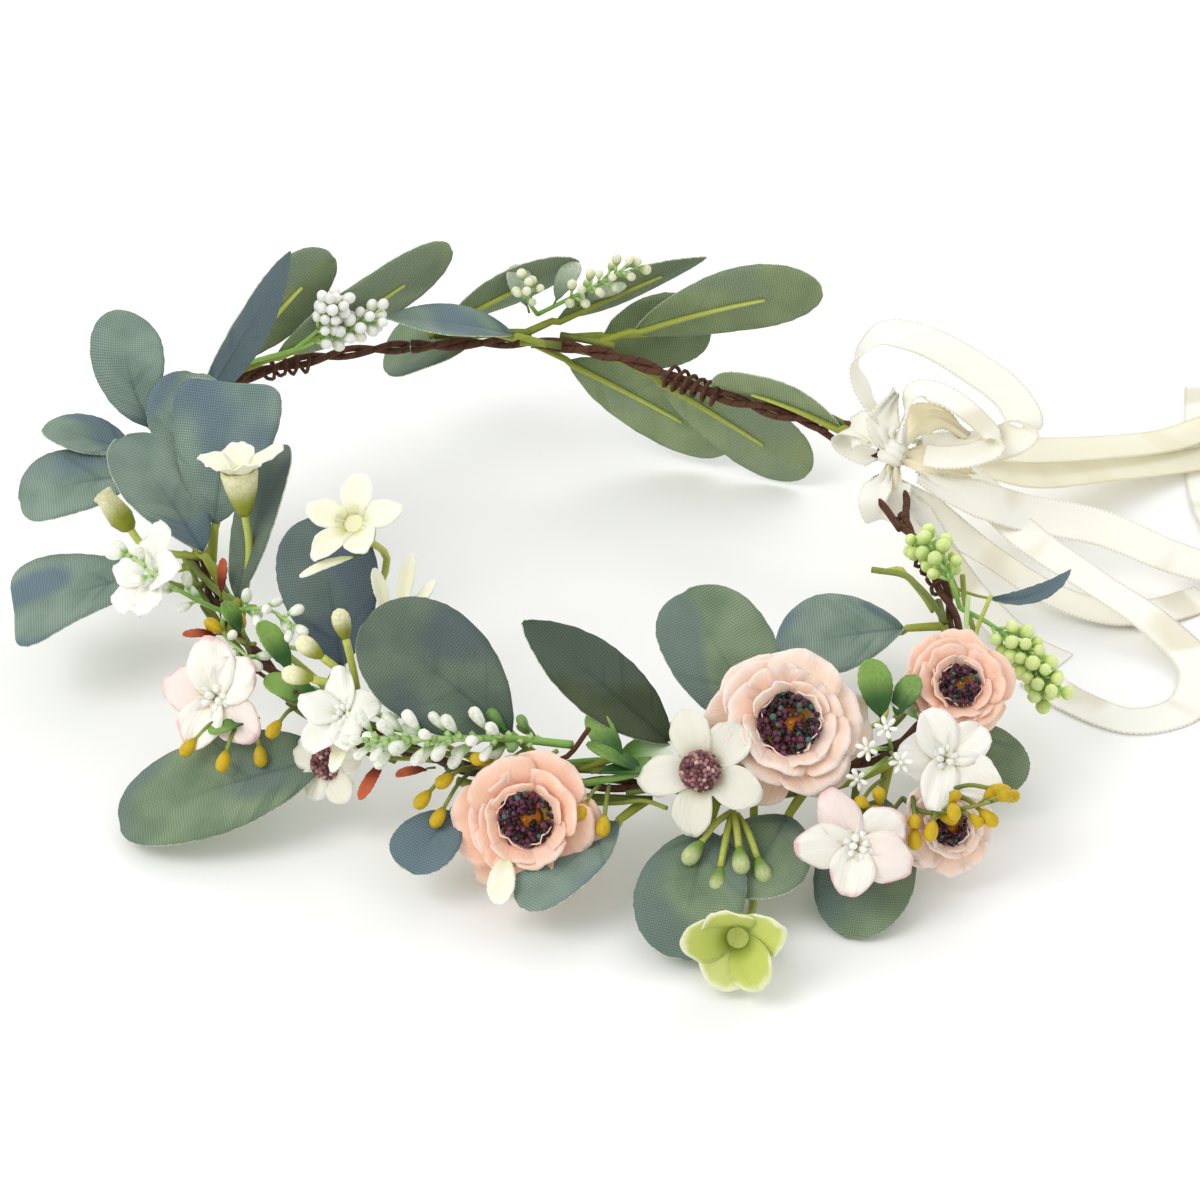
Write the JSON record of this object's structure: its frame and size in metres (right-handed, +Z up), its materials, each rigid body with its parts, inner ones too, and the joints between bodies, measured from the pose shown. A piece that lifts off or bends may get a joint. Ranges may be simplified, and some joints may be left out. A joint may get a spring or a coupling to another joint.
{
  "type": "flower crown",
  "caption": "Bendable wire band with fabric leaves, peach and cream flowers and berry sprigs, closed by a satin ribbon bow.",
  "frame": {"origin": "middle of the crown's outline seen from above, on the table it lies on", "axes": "+X towards the bow's ribbon tails, +Y towards the bare back of the band, +Z up"},
  "size_m": [0.3197, 0.2442, 0.0708],
  "materials": {
    "paper_wire": "brown paper-wrapped steel wire, matt",
    "sheer_ribbon": "sheer ivory satin",
    "satin_ribbon": "ivory satin with a woven edge",
    "leaf_fabric": "printed sage fabric, moulded midrib",
    "dark_beads": "dark purple beads",
    "mauve_grain": "grainy mauve",
    "peach_petal": "pale peach fabric",
    "coral_petal": "coral peach fabric",
    "cream_petal": "cream fabric",
    "lime_foam": "lime green, matt",
    "cream_green_petal": "cream fabric shading to green",
    "mustard_berry": "mustard yellow",
    "white_bud": "white buds on green stems"
  },
  "bodies": {
    "band": {"band_wire": "paper_wire", "binding_wire_left": "paper_wire", "binding_wire_right": "paper_wire", "ribbon_knot": "satin_ribbon", "ribbon_lower_wrap": "satin_ribbon", "ribbon_back_loop": "satin_ribbon", "ribbon_inner_loop": "satin_ribbon", "ribbon_front_strip": "satin_ribbon", "ribbon_side_loop": "satin_ribbon", "ribbon_wide_tail": "satin_ribbon", "ribbon_sheer_tail": "sheer_ribbon", "peach_flower_large_centre": "dark_beads", "peach_flower_large_petals": "peach_petal", "peach_flower_front_centre": "dark_beads", "peach_flower_front_petals": "coral_petal", "peach_flower_right_centre": "dark_beads", "peach_flower_right_petals": "coral_petal", "peach_flower_side_centre": "dark_beads", "peach_flower_side_petals": "peach_petal", "daisy_centre": "mauve_grain", "daisy_petals": "cream_petal", "blossom_left": "cream_petal", "blossom_front": "cream_petal", "blossom_right": "cream_petal", "blossom_upper_left": "cream_petal", "blossom_far_left": "cream_petal", "daisy_small": "cream_petal", "bell_tall": "cream_green_petal", "bell_side": "cream_green_petal", "bell_lime": "lime_foam", "bell_bud": "cream_green_petal", "heather_sprig": "white_bud", "bud_sprig": "white_bud", "berry_sprig": "mustard_berry", "lime_clusters": "lime_foam", "white_cluster": "white_bud", "leaves_back_left": "leaf_fabric", "leaves_left_rear": "leaf_fabric", "leaves_left_upper": "leaf_fabric", "leaves_left_front": "leaf_fabric", "leaves_left_outer": "leaf_fabric", "leaf_left_tall": "leaf_fabric", "leaf_front_broad": "leaf_fabric", "leaf_front_low": "leaf_fabric", "leaves_front_inner": "leaf_fabric", "leaf_front_round": "leaf_fabric", "leaf_right": "leaf_fabric", "leaves_front_fan": "leaf_fabric", "leaves_right_fan": "leaf_fabric", "leaves_front_under": "leaf_fabric", "blade_curled": "leaf_fabric"},
    "back_arm": {"back_arm_wire": "paper_wire", "binding_wire_back": "paper_wire", "ribbon_tie": "satin_ribbon", "leaf_back_low": "leaf_fabric", "leaves_back_high": "leaf_fabric", "leaves_back_wide": "leaf_fabric", "leaves_back_hanging": "leaf_fabric", "leaf_by_bow": "leaf_fabric", "seed_cluster": "white_bud"}
  },
  "joints": [
    {"name": "band_flex", "type": "hinge", "parent": "band", "child": "back_arm", "pos_m": [-0.0694, 0.0805, 0.038], "axis": [0, 0, 1], "range_deg": [0, 12]}
  ]
}
